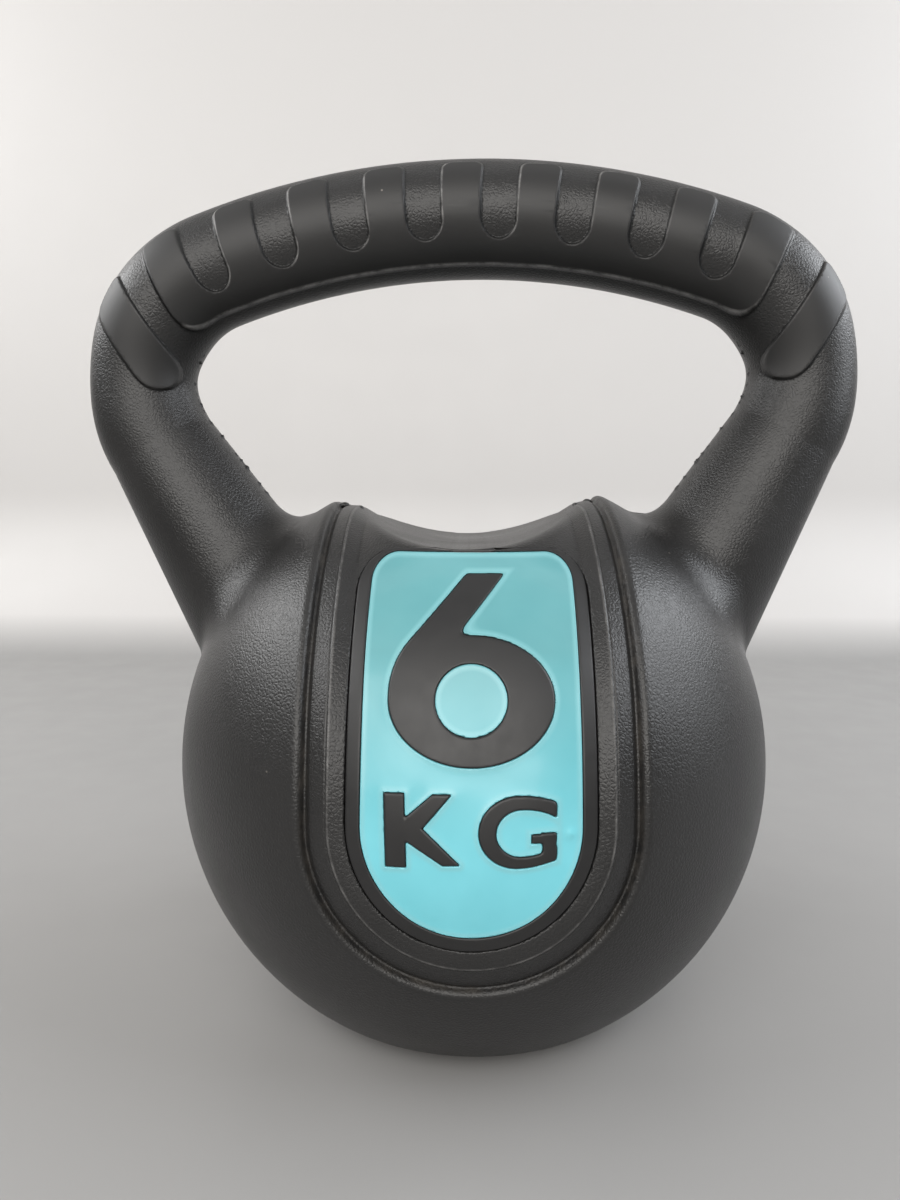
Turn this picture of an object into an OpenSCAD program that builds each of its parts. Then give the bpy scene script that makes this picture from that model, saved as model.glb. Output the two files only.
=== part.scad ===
// Cement-filled kettlebell with a blow-moulded plastic skin.
// Millimetres. X is across the handle, the front face looks towards -Y, Z is up.
// The origin is the middle of the flat base.

/* [Ball] */
// Radius of the ball, flat base and panels left out
ball_radius = 87; // [70:0.5:110]
// Height of the ball's centre over the flat base
ball_centre_height = 72.5; // [60:0.5:80]
// Radius of the shallow hollow in the middle of the base
base_hollow_radius = 29; // [20:1:40]
// Depth of the shallow hollow in the middle of the base
base_hollow_depth = 1; // [0.5:0.5:2]

/* [Handle] */
// Height of the top of the grip over the base
overall_height = 247.2; // [220:0.2:270]
// Radius of the grip's round section over its smooth bars
grip_radius = 16.9; // [14:0.1:18]
// Step from the smooth bars down to the grained skin
grip_relief = 0.6; // [0.3:0.1:1]
// Radius of the long shallow arch, along the middle of the grip
arch_radius = 219.5; // [150:1:260]
// Radius of each corner bend, along the middle of the grip
bend_radius = 35.2; // [28:0.2:45]
// Distance of each corner bend's centre from the middle plane
bend_offset = 62.5; // [50:0.5:75]
// Lean of each arm from the vertical, in degrees
arm_lean = 30.25; // [20:0.5:35]
// Half taper of each arm, widening downwards, in degrees
arm_taper = 6.5; // [3:0.5:9]
// Length of each arm below its bend, as far as the inside of the ball
arm_length = 74; // [60:1:90]

/* [Grip pattern] */
// Number of grained lobes between the smooth bars, on each side
lobe_count = 8; // [4:2:12]
// Spacing of the lobes along the grip
lobe_pitch = 20.8; // [15:0.1:30]
// Radius of each lobe's round end
lobe_radius = 5; // [3:0.1:8]
// Depth of the lobe ends below the middle line of the grip
lobe_reach = 8.8; // [4:0.1:10]
// Lower edge of the smooth strip below the middle line of the grip
strip_reach = 14.4; // [10:0.1:15]
// Upper end of the smooth bars over the middle line of the grip
bar_reach = 13.5; // [12:0.1:16]
// Length of the smooth strip from the middle plane to either end
strip_half_length = 81.6; // [70:0.1:95]
// Slant of the ends of the strip from the vertical, in degrees
strip_end_slant = 25.5; // [10:0.5:40]
// Width of the smooth tongue on each corner bend
tongue_width = 11.4; // [10:0.1:20]
// Slant of the tongue from the vertical, in degrees
tongue_slant = 33; // [20:1:45]
// Middle of the tongue's round lower end, across and up
tongue_end = [88.8, 186.9]; // [0:0.1:250]
// Corner radius at the lower end of the tongue
tongue_corner = 5; // [3:0.5:7]

/* [Panels] */
// Half width of the panel's first terrace
terrace_half_width = 38.6; // [34:0.5:45]
// Half width of the panel's second terrace
inner_half_width = 33.7; // [30:0.1:40]
// Height of the centre of the panels' half-round foot over the base
panel_foot_height = 77.4; // [72:0.1:84]
// Depth of the first terrace under the ball's surface
terrace_depth = 1.3; // [0.5:0.1:2]
// Depth of the second terrace under the ball's surface, at the height of the ball's centre
inner_depth = 2.6; // [1.5:0.1:4]
// Drop of the centre of the second terrace and the badge below the ball's centre
panel_drop = 5; // [0:0.5:6]
// Width of the groove that runs along each step
groove_width = 1.2; // [0.6:0.1:2]
// Depth of the groove that runs along each step
groove_depth = 0.7; // [0.4:0.1:1.2]
// Height of the saddle between the panels, in the middle plane
saddle_height = 139; // [130:0.2:150]
// Radius of the saddle's hollow across the ball
saddle_radius = 70; // [60:1:100]
// Height up to which the panels are cut, clear of the handle
panel_top = 162; // [150:1:170]

/* [Badges] */
// Half width of each badge
badge_half_width = 28.7; // [24:0.1:33]
// Width of the black rim beside and below the coloured field
badge_rim = 3.5; // [1.5:0.1:4]
// Width of the black rim over the coloured field
badge_top_rim = 0.8; // [0.6:0.1:2]
// Height of the top edge of each badge
badge_top = 137.9; // [120:0.5:145]
// Corner radius at the top of the coloured field
badge_corner = 7; // [4:0.5:12]
// Thickness of each badge
badge_thickness = 2.4; // [1.5:0.1:3.5]
// Depth of the pocket that holds the colour
colour_pocket = 1.3; // [0.8:0.1:2]
// Depth of the colour's surface under the rim
colour_recess = 0.4; // [0.1:0.1:0.8]

/* [Filling] */
// Wall thickness of the moulded skin
wall = 2.8; // [2:0.1:4]
// Radius of the filling hole in the base
fill_hole_radius = 14; // [8:0.5:18]
// Radius of the plug's flange
plug_flange_radius = 18; // [15:0.5:24]
// Thickness of the plug's flange
plug_flange_thickness = 1.4; // [1:0.1:2]
// Length of the plug's stem above the flange
plug_stem = 9; // [6:0.5:14]
// Thickness of the plug's wall
plug_wall = 1.8; // [1.2:0.1:3]
// Gap between neighbouring pieces
fit_gap = 0.1; // [0.05:0.05:0.3]

/* [Part] */
// One node by its name, or all of them

/* [Hidden] */
$fn = 96;
skin_colour = [0.11, 0.11, 0.12];
cement_colour = [0.62, 0.60, 0.56];
badge_colour = [0.05, 0.05, 0.055];
infill_colour = [0.35, 0.75, 0.76];

arch_height = overall_height - grip_radius - arch_radius;
arch_half_angle = asin(bend_offset / (arch_radius - bend_radius));
bend_height = arch_height + (arch_radius - bend_radius) * cos(arch_half_angle);
grained_radius = grip_radius - grip_relief;
bend_sweep = 90 - arch_half_angle + arm_lean;
arch_slip = 0.3;
bend_slip = 1.5;
tube_step = 0.05;
arm_start = [
  bend_offset + bend_radius * cos(arm_lean), 0, bend_height - bend_radius * sin(arm_lean)
];
lobe_step = lobe_pitch / arch_radius * 180 / PI;
pocket_depth = inner_depth + badge_thickness;
field_half_width = badge_half_width - badge_rim;
far = 130;

// Round tube along the arch, both bends and both arms. Each length slips a little into the next.
module handle_tube(radius) {
  translate([0, 0, arch_height])
    rotate([90, 0, 0])
      rotate([0, 0, 90 - arch_half_angle - arch_slip])
        rotate_extrude(angle = 2 * (arch_half_angle + arch_slip))
          translate([arch_radius, 0]) circle(r = radius);
  for (side = [0, 1])
    mirror([side, 0, 0]) {
      translate([bend_offset, 0, bend_height])
        rotate([90, 0, 0])
          rotate([0, 0, -arm_lean - bend_slip])
            rotate_extrude(angle = bend_sweep + bend_slip)
              translate([bend_radius, 0]) circle(r = radius + tube_step);
      translate(arm_start)
        rotate([0, 180 + arm_lean, 0])
          cylinder(
            h = arm_length,
            r1 = radius + 2 * tube_step,
            r2 = radius + 2 * tube_step + arm_length * tan(arm_taper)
          );
    }
}

// Flat outline of the panel, straight sides over a half-round foot.
module panel_outline(half_width, top) {
  translate([0, panel_foot_height]) circle(r = half_width);
  translate([-half_width, panel_foot_height])
    square([2 * half_width, top - panel_foot_height]);
}

// Flat outline of the badge's field, with round upper corners.
module badge_outline(half_width, top, corner) {
  translate([0, panel_foot_height]) circle(r = half_width);
  translate([-half_width, panel_foot_height])
    square([2 * half_width, top - corner - panel_foot_height]);
  translate([corner - half_width, panel_foot_height])
    square([2 * (half_width - corner), top - panel_foot_height]);
  for (side = [-1, 1])
    translate([side * (half_width - corner), top - corner]) circle(r = corner);
}

// Front view shape pushed from the middle plane out to the front.
module to_front() {
  rotate([90, 0, 0]) linear_extrude(height = far) children();
}

// Round floor of the panel at a given depth.
module panel_floor(depth, drop) {
  translate([0, 0, ball_centre_height - drop]) sphere(r = ball_radius - depth);
}

// Layer of the badge between two depths, cut to a front view shape.
module front_layer(depth_out, depth_in) {
  difference() {
    intersection() {
      panel_floor(depth_out, panel_drop);
      to_front() children();
    }
    panel_floor(depth_in, panel_drop);
  }
}

// All that lies outside a given depth of the ball, cut to a front view shape on both faces.
module depth_cut(depth, drop) {
  difference() {
    rotate([90, 0, 0]) linear_extrude(height = 2 * far, center = true) children();
    panel_floor(depth, drop);
  }
}

// Line of the groove along a panel step.
module groove_outline(half_width) {
  difference() {
    panel_outline(half_width + groove_width / 2, panel_top);
    panel_outline(half_width - groove_width / 2, panel_top + 1);
  }
}

// All material taken away for the front and back panels, lowered by inset.
module panel_cut(inset) {
  depth_cut(terrace_depth + inset, 0) panel_outline(terrace_half_width + inset, panel_top);
  depth_cut(inner_depth + inset, panel_drop)
    panel_outline(inner_half_width + inset, panel_top);
  depth_cut(pocket_depth + inset, panel_drop)
    badge_outline(
      badge_half_width + fit_gap + inset,
      badge_top + fit_gap + inset,
      badge_corner + badge_rim + inset
    );
}

// Hollow saddle over the top of the ball, from one panel to the other.
module saddle_cut(inset) {
  intersection() {
    translate([0, far, saddle_height + saddle_radius - inset])
      rotate([90, 0, 0]) cylinder(h = 2 * far, r = saddle_radius);
    translate([-terrace_half_width - inset, -far, ball_centre_height])
      cube([2 * (terrace_half_width + inset), 2 * far, panel_top - ball_centre_height]);
  }
}

// Smooth raised bars and strip of the grip, in front view.
module grip_outline() {
  difference() {
    intersection() {
      translate([0, arch_height])
        difference() {
          circle(r = arch_radius + bar_reach);
          circle(r = arch_radius - strip_reach);
        }
      translate([-bend_offset, bend_height]) square([2 * bend_offset, far]);
    }
    lobes();
  }
  for (side = [0, 1]) mirror([side, 0]) grip_end();
}

// Grained lobes between the smooth bars, open at the top.
module lobes() {
  for (i = [0:lobe_count - 1])
    translate([0, arch_height])
      rotate(-(i - (lobe_count - 1) / 2) * lobe_step) {
        translate([0, arch_radius - lobe_reach + lobe_radius]) circle(r = lobe_radius);
        translate([-lobe_radius, arch_radius - lobe_reach + lobe_radius])
          square([2 * lobe_radius, 2 * grip_radius]);
      }
}

// End of the smooth strip on a corner bend.
module grip_end() {
  difference() {
    intersection() {
      translate([bend_offset, bend_height])
        difference() {
          circle(r = bend_radius + bar_reach);
          circle(r = bend_radius - strip_reach);
        }
      translate([strip_half_length, bend_height + bend_radius - strip_reach])
        rotate(strip_end_slant) translate([-far, -far]) square([far, 2 * far]);
      translate([bend_offset - 0.5, bend_height]) square([far, far]);
    }
    lobes();
  }
}

// Smooth tongue on a corner bend, in front view.
module tongue_outline() {
  for (side = [0, 1])
    mirror([side, 0])
      translate(tongue_end) rotate(-tongue_slant) {
        translate([-tongue_width / 2, 0]) square([tongue_width, 45]);
        translate([tongue_corner - tongue_width / 2, -tongue_corner])
          square([tongue_width - 2 * tongue_corner, 10]);
        for (edge = [-1, 1])
          translate([edge * (tongue_width / 2 - tongue_corner), 0]) circle(r = tongue_corner);
      }
}

// Solid outside form of the moulded skin, without its cavity.
module skin_form() {
  difference() {
    union() {
      translate([0, 0, ball_centre_height]) sphere(r = ball_radius);
      handle_tube(grained_radius);
      intersection() {
        handle_tube(grip_radius);
        rotate([90, 0, 0])
          linear_extrude(height = 3 * grip_radius, center = true) {
            grip_outline();
            tongue_outline();
          }
      }
    }
    panel_cut(0);
    depth_cut(terrace_depth + groove_depth, 0) groove_outline(terrace_half_width);
    depth_cut(inner_depth + groove_depth, panel_drop) groove_outline(inner_half_width);
    saddle_cut(0);
    translate([-far, -far, -far]) cube([2 * far, 2 * far, far]);
    translate([0, 0, -1]) cylinder(h = 1 + base_hollow_depth, r = base_hollow_radius);
  }
}

// Room inside the skin, shrunk by inset from the outside form.
module cavity(inset) {
  difference() {
    union() {
      translate([0, 0, ball_centre_height]) sphere(r = ball_radius - inset);
      handle_tube(grained_radius - inset);
    }
    panel_cut(inset);
    saddle_cut(inset);
    translate([-far, -far, -far]) cube([2 * far, 2 * far, far + base_hollow_depth + inset]);
  }
}

module shell() {
  color(skin_colour)
    difference() {
      skin_form();
      cavity(wall);
      cylinder(h = 2 * wall + base_hollow_depth, r = fill_hole_radius);
      cylinder(
        h = base_hollow_depth + plug_flange_thickness + fit_gap,
        r = plug_flange_radius + fit_gap
      );
    }
}

module core() {
  color(cement_colour)
    difference() {
      cavity(wall + fit_gap);
      cylinder(
        h = base_hollow_depth + plug_flange_thickness + plug_stem + fit_gap + 0.4,
        r = fill_hole_radius + 0.9
      );
    }
}

module filler_plug() {
  flange_top = base_hollow_depth + plug_flange_thickness;
  color(skin_colour)
    difference() {
      union() {
        translate([0, 0, base_hollow_depth + 0.2])
          cylinder(h = plug_flange_thickness - 0.2, r = plug_flange_radius);
        translate([0, 0, flange_top - 0.1])
          cylinder(h = plug_stem, r = fill_hole_radius - fit_gap);
        translate([0, 0, base_hollow_depth + wall + 2 * fit_gap])
          cylinder(h = 1.6, r1 = fill_hole_radius + 0.7, r2 = fill_hole_radius - fit_gap);
      }
      translate([0, 0, flange_top + 0.6])
        cylinder(h = plug_stem, r = fill_hole_radius - plug_wall);
      translate([-5, -0.8, 0]) cube([10, 1.6, base_hollow_depth + 0.8]);
    }
}

// Outline of the figure six: a wide round bowl and a slanted stem.
module figure_six() {
  difference() {
    union() {
      translate([0, 104.9]) scale([1, 0.72]) circle(r = 19.1);
      polygon([
        [-0.3, 132.2], [9.4, 132.2], [-1.6, 119.6], [0, 104.9],
        [-19.1, 104.9], [-17.8, 111], [-14, 117.2]
      ]);
    }
    translate([0, 105.3]) scale([1, 0.91]) circle(r = 8.4);
  }
}

// Outline of the two letters of the unit.
module unit_letters() {
  translate([-19, 68.9]) square([4.5, 17]);
  polygon([
    [-14.6, 80.4], [-8, 86.2], [-3.9, 86.2], [-10.6, 77.8], [-2.4, 69.4], [-7, 69.4], [-14.6, 75.6]
  ]);
  difference() {
    translate([10.2, 77.8]) circle(r = 8.4);
    translate([10.2, 77.8]) circle(r = 4.4);
    translate([13, 75.4]) square([8, 5.6]);
  }
  translate([13, 75.4]) square([5.8, 2.4]);
  translate([15.9, 71.6]) square([2.9, 5]);
}

// Raised weight mark as one outline.
module weight_mark() {
  figure_six();
  unit_letters();
}

// Pocket for the colour, weight mark left standing.
module field_outline(gap) {
  difference() {
    badge_outline(field_half_width - gap, badge_top - badge_top_rim - gap, badge_corner - gap);
    weight_mark();
  }
}

// One black badge with its rim and the raised weight mark.
module badge() {
  color(badge_colour)
    difference() {
      front_layer(inner_depth, pocket_depth - fit_gap)
        badge_outline(badge_half_width, badge_top, badge_corner + badge_rim);
      depth_cut(inner_depth + colour_pocket, panel_drop) field_outline(0);
    }
}

// Coloured field that fills one badge's pocket.
module badge_infill() {
  color(infill_colour)
    front_layer(inner_depth + colour_recess, inner_depth + colour_pocket - 0.02)
      field_outline(0.05);
}

module front_badge() {
  badge();
}

module front_badge_infill() {
  badge_infill();
}

module back_badge() {
  rotate([0, 0, 180]) badge();
}

module back_badge_infill() {
  rotate([0, 0, 180]) badge_infill();
}

shell();
core();
filler_plug();
front_badge();
front_badge_infill();
back_badge();
back_badge_infill();
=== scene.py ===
import math
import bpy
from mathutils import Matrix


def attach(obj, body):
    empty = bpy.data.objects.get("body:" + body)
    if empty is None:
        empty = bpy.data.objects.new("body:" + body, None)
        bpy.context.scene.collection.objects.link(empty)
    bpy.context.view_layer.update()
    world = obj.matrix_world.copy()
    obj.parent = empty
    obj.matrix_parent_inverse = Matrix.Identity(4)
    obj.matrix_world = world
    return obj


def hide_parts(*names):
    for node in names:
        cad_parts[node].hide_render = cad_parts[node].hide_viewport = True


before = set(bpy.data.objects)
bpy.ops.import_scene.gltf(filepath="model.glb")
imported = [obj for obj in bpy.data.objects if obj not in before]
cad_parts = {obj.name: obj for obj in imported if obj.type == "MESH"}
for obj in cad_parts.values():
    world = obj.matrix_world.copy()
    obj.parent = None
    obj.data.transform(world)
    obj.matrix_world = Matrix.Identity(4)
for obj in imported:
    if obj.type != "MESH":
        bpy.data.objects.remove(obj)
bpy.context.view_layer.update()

from concurrent.futures import ThreadPoolExecutor

import bpy
import numpy as np
from mathutils import Matrix

# ---------------------------------------------------------------- sizes, in millimetres
MM = 0.001

# The ball, its flat base and the hole in the base for the filler plug.
BALL_RADIUS = 87.0
BALL_Z = 72.5
BASE_ROUNDING = 5.0
HOLLOW_RADIUS = 29.0
HOLLOW_DEPTH = 1.0
SEAT_RADIUS = 18.2
SEAT_DEPTH = 2.5
HOLE_RADIUS = 14.2
HOLE_DEPTH = 12.0

# The handle's centreline, a long arch between two bends and two arms, and its round section.
# WAIST is the arms' slight narrowing under the bends. The handle sits a little aside and aslant.
ARCH_RADIUS = 219.5
BEND_RADIUS = 35.2
BEND_X = 62.5
ARM_LEAN = math.radians(30.25)
ARM_TAPER = math.radians(6.55)
ARM_RAMP = 2.0
ARM_LENGTH = 74.0
TOP_Z = 247.2
GRIP_RADIUS = 16.9
WAIST = -1.0
WAIST_S = 116.0
WAIST_WIDTH = 12.0
HANDLE_SHIFT = -1.07
HANDLE_TILT = 0.0141
HANDLE_PIVOT_Z = 190.0
RELIEF = 0.6
RELIEF_SLOPE = 0.5
SEAM_FLASH = 0.45
SEAM_HALF = 0.7
SEAM_START_S = 92.0
SEAM_FULL_S = 104.0
ARCH_Z = TOP_Z - GRIP_RADIUS - ARCH_RADIUS
ARCH_HALF = math.asin(BEND_X / (ARCH_RADIUS - BEND_RADIUS))
BEND_Z = ARCH_Z + (ARCH_RADIUS - BEND_RADIUS) * math.cos(ARCH_HALF)
BEND_END = math.pi / 2 + ARM_LEAN
ARM_X = BEND_X + BEND_RADIUS * math.cos(ARM_LEAN)
ARM_Z = BEND_Z - BEND_RADIUS * math.sin(ARM_LEAN)
ARCH_S = ARCH_RADIUS * ARCH_HALF
ARM_S = ARCH_S + BEND_RADIUS * (BEND_END - ARCH_HALF)

# The grip's smooth bars, strip and tongues with the grained lobes between them. U is measured
# outward from the centreline. GRIP_SHIFT and GRIP_TURN slide the pattern along the grip.
LOBES = 8
LOBE_PITCH = 20.8
GRIP_SHIFT = 0.4
GRIP_TURN = 0.13
LOBE_RADIUS = 5.0
LOBE_CENTRE_U = -3.6
LOBE_CORNER = 3.5
LOBE_LONGER = 0.7
LAST_LOBE_S = 72.0
STRIP_U = -14.4
BAR_TOP_ANGLE = math.radians(40)
STRIP_END = (82.5, 203.0)
STRIP_SLANT = math.radians(25.5)
STRIP_CORNER = 8.0
BAR_CORNER = 2.0
TONGUE_END = (88.8, 186.9)
TONGUE_WIDTH = 11.4
TONGUE_SLANT = math.radians(33)
TONGUE_TOP_ANGLE = math.radians(33)
TONGUE_FOOT = 5.0
TONGUE_FOOT_CORNER = 8.0
TONGUE_TOP_CORNER = 3.0
TONGUE_FROM_S = 60.0

# The panels from edge to edge: groove, terrace with its crest, and the floor that holds the badge.
PANEL_FOOT = 77.4
GROOVE_FOOT = 75.6
GROOVE_HALF = 39.6
GROOVE_DRAW = 0.8
GROOVE_DRAW_FROM_Z = 100.0
GROOVE_DRAW_FULL_Z = 150.0
GROOVE_DEPTH = 2.3
GROOVE_CUT = 0.6
GROOVE_CUT_PLACE = 1.2
GROOVE_CUT_HALF = 1.3
GROOVE_SLANT = 0.35
CREST_PLACE = 0.37
CREST_HEIGHT = 1.5
FLOOR_DEPTH = 2.6
FLOOR_DROP = 5.0
FLOOR_RADIUS = BALL_RADIUS - FLOOR_DEPTH
FLOOR_Z = BALL_Z - FLOOR_DROP

# The saddle over the top of the ball, and the chips of moulding flash on it: x, z and radius.
BAND_SHIFT = 1.8
BAND_SHIFT_END = 78.0
SADDLE_X = -1.9
SADDLE_Z = 137.2
SADDLE_RADIUS = 56.0
SADDLE_LIP = 0.35
SADDLE_INSET = 2.5
FLASH_CHIPS = (
    (-38.8, 147.8, 0.9),
    (-34.2, 146.9, 0.8),
    (34.6, 148.9, 0.8),
    (31.2, 147.9, 0.7),
    (81.8, 183.4, 0.6),
)

# The badge, its pocket and the colour in it.
BADGE_HALF = 28.7
BADGE_TOP = 137.9
BADGE_CORNER = 10.0
SEAT_OVERLAP = 0.5
FIELD_CORNER = 7.0
BADGE_THICKNESS = 2.4
BADGE_GAP = 0.12
RIM = 3.5
TOP_RIM = 1.0
POCKET = 1.3
INFILL_TOP = 0.35
FIT_GAP = 0.06


# How far neighbouring surfaces run into each other.
TERRACE_ROUNDING = 0.8
PANEL_TO_SADDLE = 1.8
SADDLE_ROUNDING = 2.0
SEAT_ROUNDING = 0.25
BADGE_ROUNDING = 0.5
MARK_ROUNDING = 0.8
ARM_BLEND_LEAST = 2.0
ARM_BLEND_MORE = 9.0

# Meshes: size of the grid's cells and the most triangles, for the shell and the inserts.
SHELL_CELL = 0.62
SHELL_LOW = (-117.0, -90.0, -3.0)
SHELL_HIGH = (117.0, 90.0, 250.0)
SHELL_TRIANGLES = 190000
INSERT_CELL = 0.36
INSERT_MARGIN = 1.5
INSERT_BACK_Y = -40.0
BADGE_TRIANGLES = 90000
INFILL_TRIANGLES = 60000
PAINT_REACH = 3.0


# ---------------------------------------------------------------- distance fields
def smooth_max(a, b, k):
    """The larger of two distances, rounded off where they differ by less than k."""
    h = np.maximum(k - np.abs(a - b), 0.0)
    return np.maximum(a, b) + h * h * (0.25 / k)


def smooth_min(a, b, k):
    """The smaller of two distances, rounded off where they differ by less than k."""
    h = np.maximum(k - np.abs(a - b), 0.0)
    return np.minimum(a, b) - h * h * (0.25 / k)


def ramp(start, end, x):
    """Soft step from nought at start to one at end."""
    t = np.clip((x - start) / (end - start), 0.0, 1.0)
    return t * t * (3.0 - 2.0 * t)


def ridge(x, half):
    """Soft bump of height one, a half width to either side."""
    t = np.maximum(1.0 - (x / half) ** 2, 0.0)
    return t * t


def handle_path(x, z):
    """Outward offset from the handle's centreline, distance along it from the top, and past its end."""
    ax = np.abs(x)
    rise = z - ARCH_Z
    turn = np.clip(np.arctan2(ax, rise), 0.0, ARCH_HALF)
    sin, cos = np.sin(turn), np.cos(turn)
    u = ax * sin + rise * cos - ARCH_RADIUS
    off = ax * cos - rise * sin
    s = ARCH_RADIUS * turn
    far = u * u + off * off

    bx, bz = ax - BEND_X, z - BEND_Z
    turn = np.arctan2(bx, bz)
    opposite = 0.5 * (ARCH_HALF + BEND_END) - math.pi
    turn = np.where(turn < opposite, turn + 2.0 * math.pi, turn)
    turn = np.clip(turn, ARCH_HALF, BEND_END)
    sin, cos = np.sin(turn), np.cos(turn)
    bend_u = bx * sin + bz * cos - BEND_RADIUS
    bend_off = bx * cos - bz * sin
    bend_far = bend_u * bend_u + bend_off * bend_off
    nearer = bend_far < far
    u = np.where(nearer, bend_u, u)
    off = np.where(nearer, bend_off, off)
    s = np.where(nearer, ARCH_S + BEND_RADIUS * (turn - ARCH_HALF), s)
    far = np.where(nearer, bend_far, far)

    px, pz = ax - ARM_X, z - ARM_Z
    sin, cos = math.sin(ARM_LEAN), math.cos(ARM_LEAN)
    along = -sin * px - cos * pz
    t = np.clip(along, 0.0, ARM_LENGTH)
    arm_u = cos * px - sin * pz
    arm_off = along - t
    arm_far = arm_u * arm_u + arm_off * arm_off
    nearer = arm_far < far
    u = np.where(nearer, arm_u, u)
    off = np.where(nearer, arm_off, off)
    s = np.where(nearer, ARM_S + t, s)
    return u, s, off


def grip_edge(x, z, u, y, s):
    """Distance outside the grip's smooth raised areas, and which of their edges is near: 1 where the
    material paints a scuffed line with a painted highlight.
    """
    angle = np.arctan2(np.abs(y), u)
    aside = GRIP_SHIFT - GRIP_TURN * np.abs(y)
    side = np.where(x < 0.0, -s, s) - aside
    slot = np.clip(np.round(side / LOBE_PITCH + 0.5 * (LOBES - 1)), 0, LOBES - 1)
    ds = side - (slot - 0.5 * (LOBES - 1)) * LOBE_PITCH
    lobe_end = LOBE_CENTRE_U - LOBE_LONGER * (side / LAST_LOBE_S) ** 2
    lobe = np.hypot(ds, np.minimum(u - lobe_end, 0.0)) - LOBE_RADIUS
    ax = np.abs(x - aside)
    end = (ax - STRIP_END[0]) * math.cos(STRIP_SLANT) - (z - STRIP_END[1]) * math.sin(STRIP_SLANT)
    band = smooth_max(STRIP_U - u, end, STRIP_CORNER)
    band = smooth_max(band, (BAR_TOP_ANGLE - angle) * GRIP_RADIUS, BAR_CORNER)
    comb = smooth_max(band, -lobe, LOBE_CORNER)

    tx, tz = np.abs(x) - TONGUE_END[0], z - TONGUE_END[1]
    across = tx * math.cos(TONGUE_SLANT) - tz * math.sin(TONGUE_SLANT)
    down = -tx * math.sin(TONGUE_SLANT) - tz * math.cos(TONGUE_SLANT)
    tongue = smooth_max(np.abs(across) - 0.5 * TONGUE_WIDTH, down - TONGUE_FOOT, TONGUE_FOOT_CORNER)
    tongue = smooth_max(tongue, (TONGUE_TOP_ANGLE - angle) * GRIP_RADIUS, TONGUE_TOP_CORNER)
    tongue = np.maximum(tongue, TONGUE_FROM_S - s)
    below = ramp(LOBE_CENTRE_U - LOBE_RADIUS - 1.0, LOBE_CENTRE_U - LOBE_RADIUS - 3.0, u)
    # The side of each lobe that faces the light and the strip's lower edge get the painted highlight with
    # the scuffing, fading towards one end of the grip.
    right = np.maximum(ds / LOBE_RADIUS * ramp(140.0, -60.0, side), below)
    return np.minimum(comb, tongue), np.where(tongue < comb, 0.25, right)


def handle_place(x, z):
    """The handle's own x and z: it sits a little aside and aslant on the ball."""
    sin, cos = math.sin(HANDLE_TILT), math.cos(HANDLE_TILT)
    across, rise = x - HANDLE_SHIFT, z - HANDLE_PIVOT_Z
    return across * cos + rise * sin, rise * cos - across * sin + HANDLE_PIVOT_Z


def handle_field(x, y, z):
    """Distance outside the handle, and how far the point faces outward from the loop, up to one."""
    x, z = handle_place(x, z)
    u, s, off = handle_path(x, z)
    rho = np.sqrt(u * u + y * y + off * off)
    along = np.maximum(s - ARM_S, 0.0)
    radius = GRIP_RADIUS - RELIEF + math.tan(ARM_TAPER) * along * ramp(-ARM_RAMP, ARM_RAMP, along)
    radius = radius + WAIST * np.exp(-((s - WAIST_S) / WAIST_WIDTH) ** 2)
    raised = ramp(RELIEF_SLOPE, -RELIEF_SLOPE, grip_edge(x, z, u, y, s)[0]) * RELIEF
    ragged = np.sin(0.83 * s + 2.0 * np.sin(0.31 * s)) + 0.7 * np.sin(2.1 * s + np.sin(0.7 * s))
    seam = ridge(y, SEAM_HALF) * ramp(-0.5, -0.9, u / GRIP_RADIUS) * ramp(SEAM_START_S, SEAM_FULL_S, s)
    raised = raised + SEAM_FLASH * seam * np.maximum(ragged, 0.0)
    return rho - radius - raised, u / np.maximum(rho, 1.0)


def panel_reach(x, z, foot=PANEL_FOOT):
    """Distance from the panel's upright middle line, which ends at its foot."""
    return np.hypot(x, np.minimum(z - foot, 0.0))


def panel_edges(x, y, z):
    """Distance outside the badge's sides, distance outside the panel's groove, and the share between."""
    aside = band_x(x, y)
    inner = panel_reach(aside, z) - BADGE_HALF
    drawn = GROOVE_DRAW * ramp(GROOVE_DRAW_FROM_Z, GROOVE_DRAW_FULL_Z, z)
    outer = panel_reach(aside, z, GROOVE_FOOT) - GROOVE_HALF + drawn
    return inner, outer, np.clip(inner / np.maximum(inner - outer, 1.0), 0.0, 1.0)


def badge_edge(x, z, half=BADGE_HALF, top=BADGE_TOP, corner=BADGE_CORNER):
    """Distance outside the badge's outline, a half-round foot under a square with round corners."""
    dx = np.abs(x) - (half - corner)
    dz = z - (top - corner)
    upper = np.hypot(np.maximum(dx, 0.0), np.maximum(dz, 0.0))
    upper = upper + np.minimum(np.maximum(dx, dz), 0.0) - corner
    lower = panel_reach(x, z) - half
    return np.where(z > PANEL_FOOT, upper, lower)


def field_edge(x, z, gap=0.0):
    """Distance outside the coloured field's outline, drawn in by a gap."""
    return badge_edge(x, z, BADGE_HALF - RIM - gap, BADGE_TOP - TOP_RIM - gap, FIELD_CORNER - gap)


def band_x(x, y):
    """Distance from the middle of the panels' band, which runs a little to the left over the top."""
    return x + BAND_SHIFT * np.maximum(1.0 - np.abs(y) / BAND_SHIFT_END, 0.0)


def over_saddle(x, z):
    """Distance over the saddle's surface, negative under it."""
    return SADDLE_RADIUS - np.hypot(x - SADDLE_X, z - SADDLE_Z - SADDLE_RADIUS)


def over_lip(x, z):
    """Distance over the lower of the lips at the front and the back, seen from either side."""
    return np.maximum(over_saddle(x, z), over_saddle(-x, z))


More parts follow.
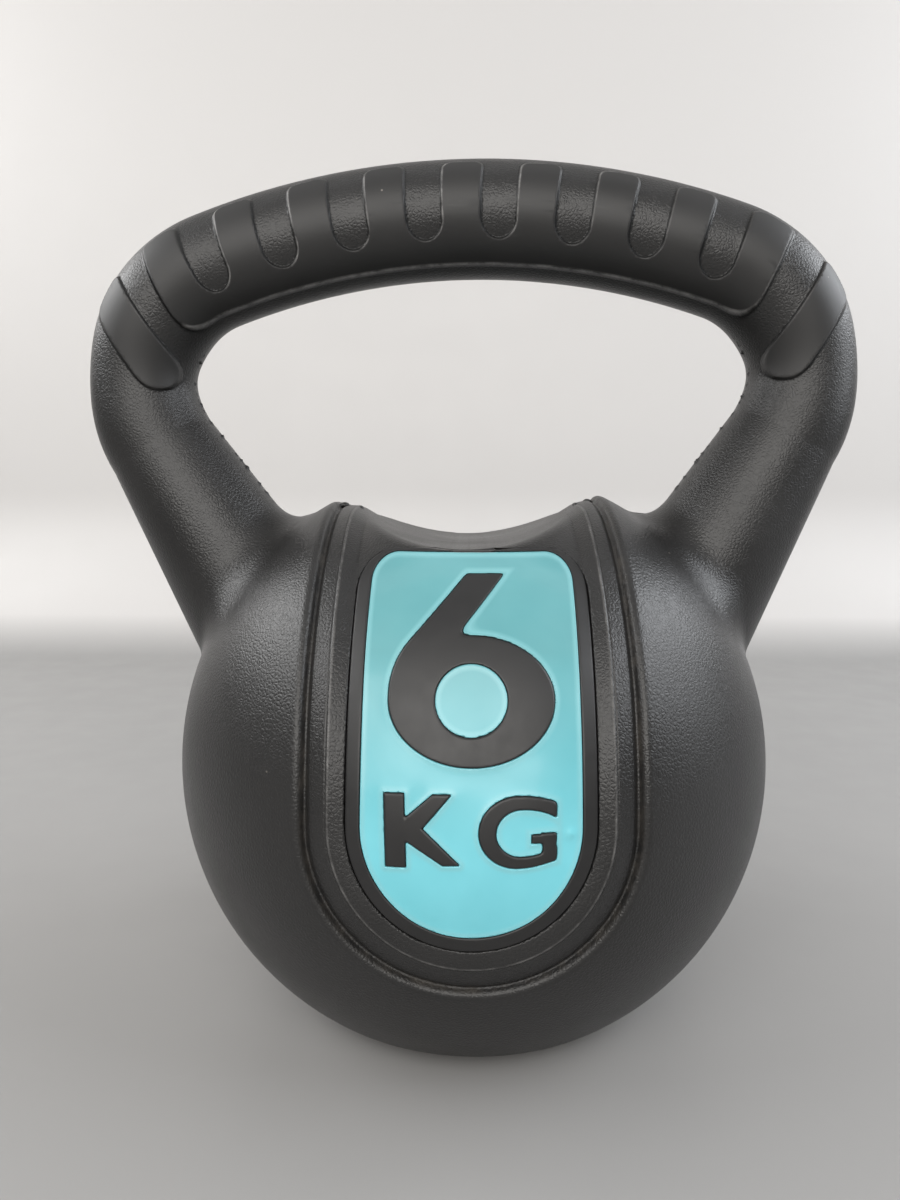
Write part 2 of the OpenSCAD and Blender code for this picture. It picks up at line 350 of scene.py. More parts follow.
def body_field(x, y, z):
    """Distance outside the ball with its panels, saddle, badge seat and base, the handle left out."""
    flat = x * x + y * y
    across = np.sqrt(flat)
    ball = np.sqrt(flat + (z - BALL_Z) ** 2)
    floor = np.sqrt(flat + (z - FLOOR_Z) ** 2)
    aside = band_x(x, y)
    _, outer, share = panel_edges(x, y, z)
    level = (1.0 - share) * (floor - FLOOR_RADIUS) + share * (ball - BALL_RADIUS + GROOVE_DEPTH)
    crest = smooth_min(share / CREST_PLACE, (1.0 - share) / (1.0 - CREST_PLACE), 0.1)
    level = level - crest * CREST_HEIGHT
    level = level + GROOVE_CUT * ridge(outer + GROOVE_CUT_PLACE, GROOVE_CUT_HALF)
    wall = outer + GROOVE_SLANT * (BALL_RADIUS - ball)
    sides = np.abs(aside) - GROOVE_HALF + SADDLE_INSET
    saddle = smooth_max(-over_saddle(x, z), sides, SADDLE_ROUNDING)
    hollow = smooth_min(smooth_max(wall, -level, TERRACE_ROUNDING), saddle, PANEL_TO_SADDLE)
    d = smooth_max(ball - BALL_RADIUS, -hollow, SADDLE_ROUNDING)
    seat = badge_edge(x, z, top=BADGE_TOP - SEAT_OVERLAP) - BADGE_GAP
    seat = smooth_max(seat, FLOOR_RADIUS - BADGE_THICKNESS - BADGE_GAP - floor, 0.3)
    d = smooth_max(d, -seat, SEAT_ROUNDING)
    d = smooth_max(d, -z, BASE_ROUNDING)
    d = smooth_max(d, -np.maximum(across - HOLLOW_RADIUS, z - HOLLOW_DEPTH), 0.8)
    d = np.maximum(d, -np.maximum(across - SEAT_RADIUS, z - SEAT_DEPTH))
    return np.maximum(d, -np.maximum(across - HOLE_RADIUS, z - HOLE_DEPTH))


def shell_field(x, y, z):
    """Distance outside the whole skin: ball and handle run softly together, with chips of flash."""
    tube, facing = handle_field(x, y, z)
    body = body_field(x, y, z)
    soft = ARM_BLEND_LEAST + ARM_BLEND_MORE * ramp(0.9, 0.1, facing)
    d = smooth_min(body, tube, soft)
    for chip_x, chip_z, size in FLASH_CHIPS:
        chip = np.sqrt(0.4 * (x - chip_x) ** 2 + 0.3 * y * y + (z - chip_z) ** 2) - size
        d = smooth_min(d, chip, 0.3)
    return d


def polygon_edge(x, z, points):
    """Distance outside a closed polygon, negative inside."""
    far = np.full(x.shape, 1e9, np.float32)
    inside = np.zeros(x.shape, bool)
    for (ax, az), (bx, bz) in zip(points, points[1:] + points[:1]):
        ex, ez = bx - ax, bz - az
        px, pz = x - ax, z - az
        t = np.clip((px * ex + pz * ez) / (ex * ex + ez * ez), 0.0, 1.0)
        far = np.minimum(far, (px - ex * t) ** 2 + (pz - ez * t) ** 2)
        crosses = (az > z) != (bz > z)
        reach = ax + (z - az) * ex / (ez if abs(ez) > 1e-9 else 1e-9)
        inside ^= crosses & (x < reach)
    return np.where(inside, -1.0, 1.0) * np.sqrt(far)


def oval_edge(x, z, cx, cz, half_w, half_h):
    """Distance outside an upright oval, close to true near its edge."""
    px, pz = (x - cx) / half_w, (z - cz) / half_h
    k = np.sqrt(px * px + pz * pz)
    slope = np.sqrt((px / half_w) ** 2 + (pz / half_h) ** 2)
    return (k - 1.0) * k / np.maximum(slope, 1e-6)


def six_edge(x, z):
    """Distance outside the figure six: a wide bowl, a round left flank and a slanted stem."""
    bowl = oval_edge(x, z, 0.0, 104.9, 19.1, 13.8)
    right_side = 0.761 * (x - 7.9) - 0.649 * (z - 132.0)
    left_side = -0.741 * (x + 1.3) + 0.672 * (z - 132.0)
    flank = np.hypot(x + 2.2, z - 105.8) - 16.9
    stem = np.maximum(np.where(z < 117.2, flank, left_side), np.maximum(right_side, 104.0 - z))
    stem = smooth_max(stem, z - 132.0, MARK_ROUNDING)
    six = smooth_min(bowl, stem, 0.1 + 2.6 * ramp(-12.0, -4.0, x))
    return smooth_max(six, -oval_edge(x, z, 0.0, 105.1, 8.3, 7.7), 0.4)


def letter_k_edge(x, z):
    """Distance outside the letter K: a stem, and both arms in one piece."""
    stem = polygon_edge(x, z, [(-19.5, 85.0), (-15.1, 85.2), (-14.6, 69.0), (-19.0, 68.8)])
    arms = polygon_edge(x, z, [
        (-16.0, 78.6), (-14.2, 80.2), (-8.5, 85.2), (-4.6, 85.3),
        (-11.0, 77.8), (-2.7, 70.0), (-6.2, 69.8), (-14.4, 74.9), (-16.0, 76.4),
    ])
    return smooth_min(stem, arms, MARK_ROUNDING) - 0.15


def letter_g_edge(x, z):
    """Distance outside the letter G: a cut ring with a bar and a spur."""
    outer = oval_edge(x, z, 10.5, 77.1, np.where(x < 10.5, 8.8, 14.0), 8.0)
    inner = oval_edge(x, z, 11.3, 76.9, np.where(x < 11.3, 5.7, 9.6), 5.2)
    ring = smooth_max(outer, -inner, 0.4)
    bar = np.maximum(np.abs(x - 16.4) - 2.9, np.abs(z - 75.6) - 1.0)
    spur = np.maximum(np.abs(x - 17.6) - 1.6, np.abs(z - 73.6) - 3.0)
    letter = smooth_min(ring, smooth_min(bar, spur, MARK_ROUNDING), MARK_ROUNDING)
    return smooth_max(letter, x - 19.2, MARK_ROUNDING)


def mark_edge(x, z):
    """Distance outside the weight mark: a figure six over the letters of the unit."""
    return np.minimum(six_edge(x, z), np.minimum(letter_k_edge(x, z), letter_g_edge(x, z)))


def badge_field(x, y, z):
    """Distance outside the front badge: a curved plate with a pocket round the raised weight mark."""
    floor = np.sqrt(x * x + y * y + (z - FLOOR_Z) ** 2)
    edge = badge_edge(x, z)
    slab = smooth_max(floor - FLOOR_RADIUS, edge, BADGE_ROUNDING)
    slab = smooth_max(slab, FLOOR_RADIUS - BADGE_THICKNESS - floor, 0.4)
    over = over_lip(x, z)
    slab = smooth_max(slab, over + BADGE_GAP, 0.4)
    pocket = np.maximum(field_edge(x, z), FLOOR_RADIUS - POCKET - floor)
    pocket = np.maximum(pocket, over + SADDLE_LIP)
    pocket = np.maximum(pocket, -mark_edge(x, z))
    return smooth_max(slab, -pocket, BADGE_ROUNDING)


def infill_field(x, y, z):
    """Distance outside the colour in the front badge's pocket, drawn up a little along its walls."""
    floor = np.sqrt(x * x + y * y + (z - FLOOR_Z) ** 2)
    wall = np.minimum(-field_edge(x, z, FIT_GAP), mark_edge(x, z) - FIT_GAP)
    swell = 0.12 * np.sin(0.21 * x + 0.9) * np.cos(0.17 * z)
    swell = swell + 0.22 * np.exp(-np.maximum(wall, 0.0) / 0.9)
    drip = 0.3 * np.exp(-((x - 22.4) ** 2 + (z - 76.2) ** 2) / 1.4)
    top = floor - (FLOOR_RADIUS - INFILL_TOP + (swell + drip))
    slab = np.maximum(top, FLOOR_RADIUS - POCKET + 0.1 - floor)
    slab = np.maximum(slab, over_lip(x, z) + SADDLE_LIP + FIT_GAP)
    return smooth_max(slab, -wall, SEAT_ROUNDING)


# ---------------------------------------------------------------- meshes from the fields
BLOCK = 8
CHUNK = 120000


def evaluate(field, points):
    """Values of a field at many points, worked out on all cores."""
    pieces = np.array_split(points, max(1, len(points) // CHUNK))
    with ThreadPoolExecutor() as pool:
        parts = pool.map(lambda p: field(p[:, 0], p[:, 1], p[:, 2]).astype(np.float32), pieces)
        return np.concatenate(list(parts))


def slope(field, points, step=0.05):
    """Gradient of a field at many points."""
    result = np.empty_like(points)
    for axis in range(3):
        shift = np.zeros(3, np.float32)
        shift[axis] = step
        result[:, axis] = (evaluate(field, points + shift) - evaluate(field, points - shift)) / (2.0 * step)
    return result


def grid_values(field, low, counts, cell):
    """Field values on a fine grid, exact only in the blocks that the surface may cross."""
    span = BLOCK * cell
    centres = np.stack(np.meshgrid(*[np.arange(n) for n in counts], indexing="ij"), -1).reshape(-1, 3)
    middle = (low + (centres + 0.5) * span - 0.5 * cell).astype(np.float32)
    coarse = evaluate(field, middle)
    near = np.abs(coarse) < 1.2 * 0.5 * math.sqrt(3.0) * span + cell
    values = coarse.reshape(counts)
    for axis in range(3):
        values = np.repeat(values, BLOCK, axis)
    local = np.stack(np.meshgrid(*[np.arange(BLOCK)] * 3, indexing="ij"), -1).reshape(-1, 3)
    where = (centres[near][:, None, :] * BLOCK + local[None]).reshape(-1, 3)
    values[where[:, 0], where[:, 1], where[:, 2]] = evaluate(field, (low + where * cell).astype(np.float32))
    return values


def net_vertices(values, cells):
    """One point per crossed cell: the mean of the crossings on its edges, in grid units."""
    total = np.zeros((len(cells), 3))
    hits = np.zeros(len(cells))
    for axis in range(3):
        u, v = (axis + 1) % 3, (axis + 2) % 3
        for du in (0, 1):
            for dv in (0, 1):
                start = cells.copy()
                start[:, u] += du
                start[:, v] += dv
                end = start.copy()
                end[:, axis] += 1
                a = values[start[:, 0], start[:, 1], start[:, 2]]
                b = values[end[:, 0], end[:, 1], end[:, 2]]
                cut = (a < 0) != (b < 0)
                t = np.where(cut, a / np.where(cut, a - b, 1.0), 0.0)
                point = start.astype(float)
                point[:, axis] += t
                total[cut] += point[cut]
                hits[cut] += 1
    return total / hits[:, None]


def net_faces(inside, lookup):
    """Four-cornered faces round every grid edge that the surface crosses, facing outward."""
    faces = []
    for axis in range(3):
        u, v = (axis + 1) % 3, (axis + 2) % 3
        first = [slice(1, -1)] * 3
        second = [slice(1, -1)] * 3
        first[axis] = slice(0, -1)
        second[axis] = slice(1, None)
        a, b = inside[tuple(first)], inside[tuple(second)]
        edge = np.argwhere(a != b)
        outward = a[edge[:, 0], edge[:, 1], edge[:, 2]]
        for k in range(3):
            if k != axis:
                edge[:, k] += 1
        corners = []
        for du, dv in ((-1, -1), (0, -1), (0, 0), (-1, 0)):
            cell = edge.copy()
            cell[:, u] += du
            cell[:, v] += dv
            corners.append(lookup(cell))
        quad = np.stack(corners, 1)
        quad[~outward] = quad[~outward][:, ::-1]
        faces.append(quad)
    return np.concatenate(faces)


def surface(field, low, high, cell):
    """Points and faces of the surface where a field is zero."""
    low = np.array(low, float)
    counts = np.ceil((np.array(high) - low) / (BLOCK * cell)).astype(int)
    values = grid_values(field, low, counts, cell)
    inside = values < 0
    full = np.zeros([n - 1 for n in inside.shape], np.uint8)
    for dx in (0, 1):
        for dy in (0, 1):
            for dz in (0, 1):
                full += inside[dx:dx + full.shape[0], dy:dy + full.shape[1], dz:dz + full.shape[2]]
    cells = np.argwhere((full > 0) & (full < 8))
    keys = np.ravel_multi_index(cells.T, full.shape)
    points = (low + net_vertices(values, cells) * cell).astype(np.float32)
    start = points.copy()
    for _ in range(3):
        gradient = slope(field, points)
        size = np.maximum((gradient ** 2).sum(1), 0.05)
        points = points - gradient * (evaluate(field, points) / size)[:, None]
        points = np.clip(points, start - 0.6 * cell, start + 0.6 * cell).astype(np.float32)
    faces = net_faces(inside, lambda c: np.searchsorted(keys, np.ravel_multi_index(c.T, full.shape)))
    return points, faces


def mesh_object(name, points, faces):
    """Object with these points, in millimetres, and faces of equal length."""
    mesh = bpy.data.meshes.new(name)
    mesh.vertices.add(len(points))
    mesh.vertices.foreach_set("co", (points * MM).astype(np.float32).ravel())
    mesh.loops.add(faces.size)
    mesh.loops.foreach_set("vertex_index", faces.ravel().astype(np.int32))
    mesh.polygons.add(len(faces))
    mesh.polygons.foreach_set("loop_start", np.arange(0, faces.size, faces.shape[1], dtype=np.int32))
    mesh.update(calc_edges=True)
    mesh.validate()
    obj = bpy.data.objects.new(name, mesh)
    bpy.context.scene.collection.objects.link(obj)
    return obj


def thin_out(obj, triangles):
    """Reduces the mesh to about so many triangles, keeping the most where it curves."""
    count = 2 * len(obj.data.polygons)
    if count > triangles:
        modifier = obj.modifiers.new("thin", "DECIMATE")
        modifier.ratio = triangles / count
        evaluated = obj.evaluated_get(bpy.context.evaluated_depsgraph_get())
        mesh = bpy.data.meshes.new_from_object(evaluated)
        obj.modifiers.clear()
        obj.data = mesh


def points_of(obj):
    """The mesh's points, in millimetres."""
    flat = np.empty(3 * len(obj.data.vertices), np.float32)
    obj.data.vertices.foreach_get("co", flat)
    return flat.reshape(-1, 3) / MM


def shade_from_field(obj, field, step=0.22):
    """Smooth shading with the normals of the field itself."""
    normals = slope(field, points_of(obj), step)
    normals /= np.maximum(np.linalg.norm(normals, axis=1), 1e-6)[:, None]
    obj.data.shade_smooth()
    obj.data.normals_split_custom_set_from_vertices(normals.tolist())


def paint(obj, name, values):
    """Value per point that the material reads by name."""
    attribute = obj.data.attributes.new(name, "FLOAT", "POINT")
    attribute.data.foreach_set("value", values.astype(np.float32))


# ---------------------------------------------------------------- materials
class Nodes:
    """Adds and links the nodes of one material."""

    def __init__(self, name, **sockets):
        self.material = bpy.data.materials.new(name)
        self.material.use_nodes = True
        self.tree = self.material.node_tree
        self.shader = self.tree.nodes["Principled BSDF"]
        for socket, value in sockets.items():
            self.shader.inputs[socket.replace("_", " ")].default_value = value
        self.place = self.add("ShaderNodeTexCoord").outputs["Object"]

    def add(self, kind, inputs=None, **settings):
        """One node, with values or links for its inputs."""
        node = self.tree.nodes.new(kind)
        for key, value in settings.items():
            setattr(node, key, value)
        for key, value in (inputs or {}).items():
            if isinstance(value, bpy.types.NodeSocket):
                self.tree.links.new(value, node.inputs[key])
            else:
                node.inputs[key].default_value = value
        return node

    def math(self, operation, a, b=0.0):
        return self.add("ShaderNodeMath", {0: a, 1: b}, operation=operation).outputs[0]

    def attribute(self, name):
        return self.add("ShaderNodeAttribute", attribute_name=name).outputs["Fac"]

    def noise(self, scale, detail=2.0, roughness=0.5, place=None):
        """Soft cloudy noise from nought to one."""
        inputs = {"Vector": place or self.place, "Scale": scale, "Detail": detail, "Roughness": roughness}
        return self.add("ShaderNodeTexNoise", inputs).outputs["Fac"]

    def cells(self, scale, feature="F1", place=None):
        """Distance in a pattern of random cells."""
        inputs = {"Vector": place or self.place, "Scale": scale}
        return self.add("ShaderNodeTexVoronoi", inputs, feature=feature).outputs["Distance"]

    def span(self, value, low, high, to_low=0.0, to_high=1.0):
        """Carries a range of values over to another range."""
        inputs = {"Value": value, "From Min": low, "From Max": high, "To Min": to_low, "To Max": to_high}
        return self.add("ShaderNodeMapRange", inputs).outputs["Result"]

    def bell(self, value, middle, half):
        """One at a middle value, falling to nothing a half width away on either side."""
        away = self.math("ABSOLUTE", self.math("SUBTRACT", value, middle))
        return self.span(away, half, 0.0)

    def warped(self, scale, amount):
        """Place pushed about by noise, for a pattern that isn't regular."""
        noise = self.add("ShaderNodeTexNoise", {"Vector": self.place, "Scale": scale, "Detail": 1.0})
        shift = self.add(
            "ShaderNodeVectorMath",
            {0: noise.outputs["Color"], 1: (0.5, 0.5, 0.5)},
            operation="SUBTRACT",
        ).outputs[0]
        scaled = self.add("ShaderNodeVectorMath", {0: shift, "Scale": amount}, operation="SCALE").outputs[0]
        return self.add("ShaderNodeVectorMath", {0: self.place, 1: scaled}, operation="ADD").outputs[0]

    def mix(self, factor, a, b):
        """Mix of two colours."""
        node = self.add("ShaderNodeMix", {0: factor}, data_type="RGBA")
        for index, value in ((6, a), (7, b)):
            if isinstance(value, bpy.types.NodeSocket):
                self.tree.links.new(value, node.inputs[index])
            else:
                node.inputs[index].default_value = (*value, 1.0)
        return node.outputs[2]

    def bump(self, height, distance, strength=1.0):
        return self.add(
            "ShaderNodeBump", {"Height": height, "Distance": distance, "Strength": strength}
        ).outputs["Normal"]

    def finish(self, **links):
        """Links the shader's sockets and gives back the material."""
        for socket, value in links.items():
            self.tree.links.new(value, self.shader.inputs[socket.replace("_", " ")])
        return self.material


def skin_material():
    """Black blow-moulded polyethylene with leather grain, sharp relief lines, dust, rubbed edges, painted
    shade at the foot of the grip's relief, and painted highlights on its light-facing edges and along the
    panel crests.
    """
    n = Nodes("black_polyethylene", IOR=1.43)
    grip, right = n.attribute("grip"), n.attribute("right")
    grained = n.span(grip, -0.3, 0.3, 0.03, 1.0)
    place = n.warped(500.0, 0.0007)
    pebbles = n.span(n.cells(1000.0, "DISTANCE_TO_EDGE", place), 0.0, 0.3)
    grain = n.math("ADD", n.math("MULTIPLY", pebbles, 0.05), n.math("MULTIPLY", n.noise(2100.0, 2.0), 0.03))
    relief = n.span(grip, 0.25, -0.25, 0.0, 0.4)
    cut = n.math("MULTIPLY", n.bell(n.attribute("crest"), 0.5, 0.35), -0.16)
    height = n.math("ADD", n.math("MULTIPLY", grain, grained), n.math("ADD", relief, cut))
    patches = n.noise(38.0, 3.0)
    # Whitish lines on one edge of each lobe: partly real scuffing, partly a painted highlight on the edges
    # that face the light. The rubbed brim of the base and the crest line join them.
    scuffs_and_highlights = n.math("MULTIPLY", n.bell(grip, -0.2, 0.42), n.span(right, 0.2, 0.8, 0.0, 1.0))
    brim = n.math("MULTIPLY", n.bell(n.attribute("foot"), 1.4, 1.3), 0.7)
    # A thin pale line along the crest ridge: partly rub wear, partly a painted highlight.
    line = n.math("MULTIPLY", n.bell(n.attribute("crest"), 0.0, 0.4), 0.4)
    scuffs_and_highlights = n.math("MAXIMUM", scuffs_and_highlights, n.math("MAXIMUM", brim, line))
    worn_and_highlit = n.math("MULTIPLY", scuffs_and_highlights, n.span(n.noise(240.0, 3.0, 0.7), 0.3, 0.66))
    dusty = n.span(n.noise(160.0, 4.0, 0.7), 0.42, 0.75)
    dust = n.math("MULTIPLY", n.bell(n.attribute("groove"), -0.8, 1.3), dusty)
    specks = n.span(n.cells(170.0), 0.06, 0.035)
    specks = n.math("MULTIPLY", specks, n.span(n.noise(33.0, 1.0), 0.62, 0.7))
    base = n.mix(patches, (0.0095, 0.0093, 0.0092), (0.0175, 0.017, 0.0168))
    # Painted shade: a near-black line just outside every raised edge of the grip, where the shadow of the
    # step falls.
    base = n.mix(n.bell(grip, 0.3, 0.5), base, (0.002, 0.002, 0.002))
    base = n.mix(n.math("MULTIPLY", dust, 0.6), base, (0.06, 0.052, 0.043))
    # Mixes in the whitish lines: rubbed wear together with painted highlights.
    base = n.mix(worn_and_highlit, base, (0.23, 0.225, 0.22))
    base = n.mix(specks, base, (0.22, 0.20, 0.18))
    rough = n.math("ADD", n.span(patches, 0.3, 0.7, 0.33, 0.42), n.math("MULTIPLY", dust, 0.3))
    rough = n.math("ADD", rough, n.span(grained, 1.0, 0.0, 0.0, 0.12))
    return n.finish(Base_Color=base, Roughness=rough, Normal=n.bump(height, MM))


def badge_material():
    """Smooth black insert with faint ripples and scratches."""
    n = Nodes("black_badge", IOR=1.45)
    patches = n.noise(60.0, 3.0)
    base = n.mix(patches, (0.008, 0.008, 0.0082), (0.0135, 0.013, 0.013))
    rough = n.span(n.noise(220.0, 4.0, 0.65), 0.3, 0.75, 0.38, 0.5)
    height = n.math("ADD", n.noise(55.0, 2.0), n.math("MULTIPLY", n.noise(900.0, 2.0), 0.05))
    return n.finish(Base_Color=base, Roughness=rough, Normal=n.bump(height, 0.00035, 0.5))


def infill_material():
    """Turquoise paint, a little uneven, darker towards the top as painted shade, and paler along its edges.
    """
    n = Nodes("turquoise_paint", IOR=1.48, Coat_Weight=0.25, Coat_Roughness=0.12)
    flow = n.noise(45.0, 3.0, 0.55, n.warped(30.0, 0.02))
    height = n.add("ShaderNodeSeparateXYZ", {0: n.place}).outputs["Z"]
    # Painted shade: low is the colour at the badge's foot, high the same paint darkened for its top, mixed
    # by height.
    low = n.mix(n.span(flow, 0.3, 0.7), (0.13, 0.46, 0.525), (0.155, 0.505, 0.575))
    high = n.mix(n.span(flow, 0.3, 0.7), (0.08, 0.25, 0.27), (0.094, 0.28, 0.30))
    base = n.mix(n.span(height, 0.07, 0.115), low, high)
    base = n.mix(n.math("MULTIPLY", n.bell(n.attribute("edge"), 0.7, 0.9), 0.5), base, (0.19, 0.42, 0.45))
    rough = n.span(n.noise(130.0, 3.0), 0.3, 0.7, 0.3, 0.42)
    return n.finish(Base_Color=base, Roughness=rough, Normal=n.bump(flow, 0.0006, 0.5))


def cement_material():
    """Rough grey cement with sand and pores."""
    n = Nodes("cement", IOR=1.45)
    sand = n.cells(700.0)
    clouds = n.noise(40.0, 5.0, 0.6)
    pores = n.span(n.cells(150.0), 0.12, 0.05)
    base = n.mix(clouds, (0.26, 0.25, 0.235), (0.42, 0.41, 0.385))
    # Painted shade: the pores are coloured dark for the shade inside the holes.
    base = n.mix(n.math("MULTIPLY", pores, 0.7), base, (0.11, 0.105, 0.1))
    height = n.math("SUBTRACT", n.math("ADD", clouds, n.math("MULTIPLY", sand, 0.4)), pores)
    rough = n.span(clouds, 0.2, 0.8, 0.8, 0.95)
    return n.finish(Base_Color=base, Roughness=rough, Normal=n.bump(height, 0.0006, 0.8))


def plug_material():
    """Plain black polyethylene with a light moulding texture."""
    n = Nodes("plug_polyethylene", IOR=1.5)
    patches = n.noise(90.0, 3.0)
    base = n.mix(patches, (0.012, 0.012, 0.012), (0.024, 0.023, 0.022))
    rough = n.span(patches, 0.3, 0.7, 0.42, 0.58)
    return n.finish(Base_Color=base, Roughness=rough, Normal=n.bump(n.noise(1500.0, 2.0), 0.0001, 0.5))


# ---------------------------------------------------------------- pieces
def make_shell():
    """The moulded skin, painted with its distances to the relief lines that the material draws."""
    cell = SHELL_CELL
    obj = mesh_object("moulded_shell", *surface(shell_field, SHELL_LOW, SHELL_HIGH, cell))
    thin_out(obj, SHELL_TRIANGLES)
    points = points_of(obj)
    x, y, z = points.T
    handle_x, handle_z = handle_place(x, z)
    u, s, _ = handle_path(handle_x, handle_z)
    on_handle = handle_field(x, y, z)[0] < 0.8
    grip, right = grip_edge(handle_x, handle_z, u, y, s)
    inner, outer, share = panel_edges(x, y, z)
    on_panel = (np.sqrt(x * x + y * y + (z - BALL_Z) ** 2) < BALL_RADIUS + 1.0) & ~on_handle
    crest = (share - CREST_PLACE) * (inner - outer)
    for name, on, distance in (
        ("grip", on_handle, grip), ("crest", on_panel, crest), ("groove", on_panel, outer),
    ):
        near = np.clip(distance, -PAINT_REACH, PAINT_REACH)
        paint(obj, name, np.where(on, near, PAINT_REACH))
    paint(obj, "right", np.clip(right, -1.0, 1.0))
    paint(obj, "foot", z)
    shade_from_field(obj, shell_field)
    obj.data.materials.clear()
    obj.data.materials.append(skin_material())
    return obj


def make_insert(name, field, material, triangles):
    """A front badge piece, painted with its distance to the walls of the coloured field."""
    cell = INSERT_CELL
    half = BADGE_HALF + INSERT_MARGIN
    low = (-half, -FLOOR_RADIUS - 2.0, PANEL_FOOT - half)
    high = (half, INSERT_BACK_Y, BADGE_TOP + INSERT_MARGIN)
    obj = mesh_object(name, *surface(field, low, high, cell))
    thin_out(obj, triangles)
    x, y, z = points_of(obj).T
    wall = np.minimum(-field_edge(x, z), mark_edge(x, z))
    paint(obj, "edge", wall)
    shade_from_field(obj, field, 0.1)
    obj.data.materials.clear()
    obj.data.materials.append(material)
    return obj


def behind(obj, name):
    """Copy of a front piece, turned half round to the back."""
    copy = bpy.data.objects.new(name, obj.data.copy())
    bpy.context.scene.collection.objects.link(copy)
    copy.data.transform(Matrix.Rotation(math.pi, 4, "Z"))
    return copy


def make_plug():
    """Filler plug turned from its profile."""
    steps = 96
    top = HOLLOW_DEPTH + 1.4
    profile = [
        (0.0, 1.9), (8.0, 1.9), (9.4, 1.7), (10.0, 1.25), (16.9, 1.2), (17.6, 1.35), (17.9, 1.7),
        (17.9, 2.2), (17.5, top), (14.0, top + 0.05), (13.9, top + 1.3), (14.1, top + 1.8),
        (13.9, top + 2.4), (13.6, top + 8.4), (12.6, top + 8.8), (12.1, top + 8.0), (12.0, top + 0.8),
        (0.0, top + 0.6),
    ]
    rings = len(profile)
    turn = np.arange(steps) * 2.0 * math.pi / steps
    points = []
    for radius, height in profile:
        reach = max(radius, 0.02)
        points.append(np.stack([reach * np.cos(turn), reach * np.sin(turn), np.full(steps, height)], 1))
    points = np.concatenate(points)
    faces = []
    for ring in range(rings - 1):
        for step in range(steps):
            after = (step + 1) % steps
            a, b = ring * steps, (ring + 1) * steps
            faces.append((a + step, a + after, b + after, b + step))
    faces = np.array(faces)
    obj = mesh_object("filler_plug_moulding", points, faces)
    obj.data.shade_smooth()
    obj.data.materials.append(plug_material())
    return obj


# ---------------------------------------------------------------- assembly
def place(piece, node, slot):
    """Puts a piece in the one body, in place of its CAD node."""
    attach(piece, "root")
    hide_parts(node)


place(make_shell(), "shell", "shell")
place(make_plug(), "filler_plug", "filler_plug")
front_badge = make_insert("badge_front", badge_field, badge_material(), BADGE_TRIANGLES)
place(front_badge, "front_badge", "badge")
place(behind(front_badge, "badge_back"), "back_badge", "badge")
front_infill = make_insert("colour_front", infill_field, infill_material(), INFILL_TRIANGLES)
place(front_infill, "front_badge_infill", "badge_infill")
place(behind(front_infill, "colour_back"), "back_badge_infill", "badge_infill")
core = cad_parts["core"]
core.data.materials.clear()
core.data.materials.append(cement_material())


# ---------------------------------------------------------------- floor, light and camera
def floor_material():
    """Pale grey floor that turns nearly white where it rises behind the object."""
    n = Nodes("pale_floor", IOR=1.45)
    height = n.add("ShaderNodeSeparateXYZ", {0: n.place}).outputs["Z"]
    base = n.mix(n.noise(6.0, 3.0), (0.24, 0.237, 0.233), (0.26, 0.256, 0.252))
    base = n.mix(n.span(height, 0.002, 0.03), base, (0.465, 0.453, 0.443))
    rough = n.span(n.noise(30.0, 2.0), 0.3, 0.7, 0.42, 0.5)
    return n.finish(Base_Color=base, Roughness=rough)


def make_floor():
    """Plain sheet that curves up behind the object."""
    half, back, bend, top = 2.4, 0.65, 0.15, 2.2
    side = [(-2.5, 0.0), (back - bend, 0.0)]
    for step in range(1, 17):
        turn = step / 16 * math.pi / 2
        side.append((back - bend + bend * math.sin(turn), bend - bend * math.cos(turn)))
    side.append((back, top))
    points = np.array([(x, y, z) for y, z in side for x in (-half, half)]) / MM
    faces = np.array([(2 * i, 2 * i + 1, 2 * i + 3, 2 * i + 2) for i in range(len(side) - 1)])
    obj = mesh_object("studio_floor", points, faces)
    obj.data.shade_smooth()
    obj.data.materials.append(floor_material())


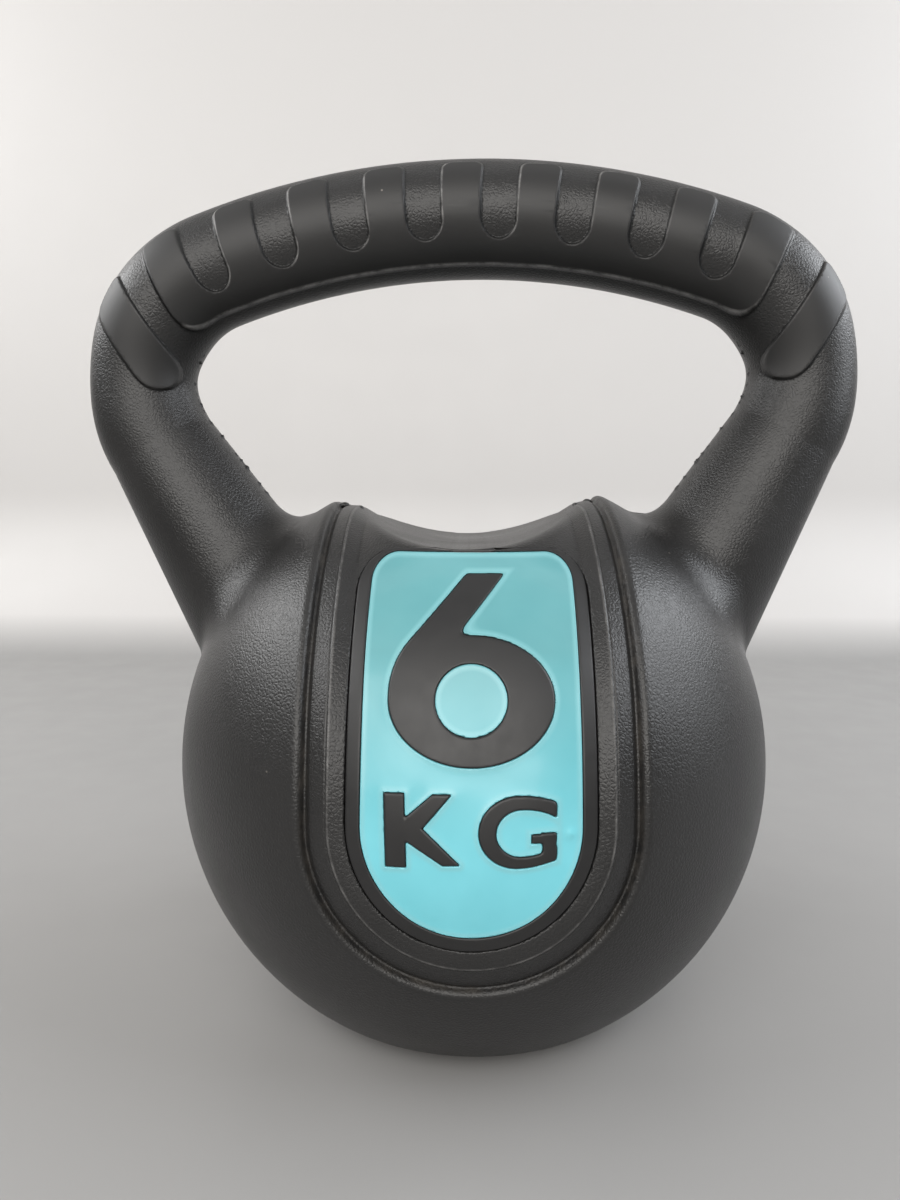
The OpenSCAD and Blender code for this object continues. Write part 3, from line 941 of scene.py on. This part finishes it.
def soft_light(name, place, aim, size, watts, tint=(1.0, 1.0, 1.0)):
    """Wide rectangular light at a place, turned towards its aim."""
    data = bpy.data.lights.new(name, "AREA")
    data.shape = "RECTANGLE"
    data.size, data.size_y = size
    data.energy = watts
    data.color = tint
    obj = bpy.data.objects.new(name, data)
    bpy.context.scene.collection.objects.link(obj)
    obj.location = place
    direction = Matrix.Translation(aim).translation - Matrix.Translation(place).translation
    obj.rotation_euler = direction.to_track_quat("-Z", "Y").to_euler()


make_floor()
world = bpy.data.worlds.new("studio")
bpy.context.scene.world = world
world.use_nodes = True
world.node_tree.nodes["Background"].inputs["Color"].default_value = (1.0, 1.0, 1.0, 1.0)
world.node_tree.nodes["Background"].inputs["Strength"].default_value = 0.1
bpy.context.scene.view_settings.view_transform = "Standard"
soft_light("window", (-0.15, -1.15, 0.72), (0.0, 0.0, 0.15), (1.6, 1.0), 24.0, (1.0, 0.975, 0.94))
soft_light("ceiling", (0.0, -0.3, 1.5), (0.0, -0.1, 0.0), (1.8, 1.4), 4.0)
soft_light("right_side", (1.0, 0.0, 0.75), (0.0, 0.0, 0.15), (1.2, 0.5), 13.0, (0.93, 0.96, 1.0))
soft_light("left_side", (-1.0, 0.0, 0.75), (0.0, 0.0, 0.15), (1.2, 0.5), 12.0)
soft_light("right_low", (1.0, -0.1, 0.3), (0.0, 0.0, 0.12), (0.6, 0.25), 1.5, (0.93, 0.96, 1.0))
soft_light("backdrop_wash", (0.0, 0.2, 1.4), (0.0, 0.65, 0.2), (2.0, 0.3), 2.0)

CAMERA_PLACE = (0.0004, -0.2747, 0.153)
CAMERA_TILT = 0.124
CAMERA_TURN = math.radians(1.5)
CAMERA_LENS = 36.04
CAMERA_SENSOR = 36.0
camera_data = bpy.data.cameras.new("camera")
camera_data.sensor_fit = "HORIZONTAL"
camera_data.sensor_width = CAMERA_SENSOR
camera_data.lens = CAMERA_LENS
camera = bpy.data.objects.new("camera", camera_data)
camera.location = CAMERA_PLACE
camera.rotation_euler = (math.pi / 2 - CAMERA_TILT, 0.0, CAMERA_TURN)
bpy.context.scene.collection.objects.link(camera)
bpy.context.scene.camera = camera
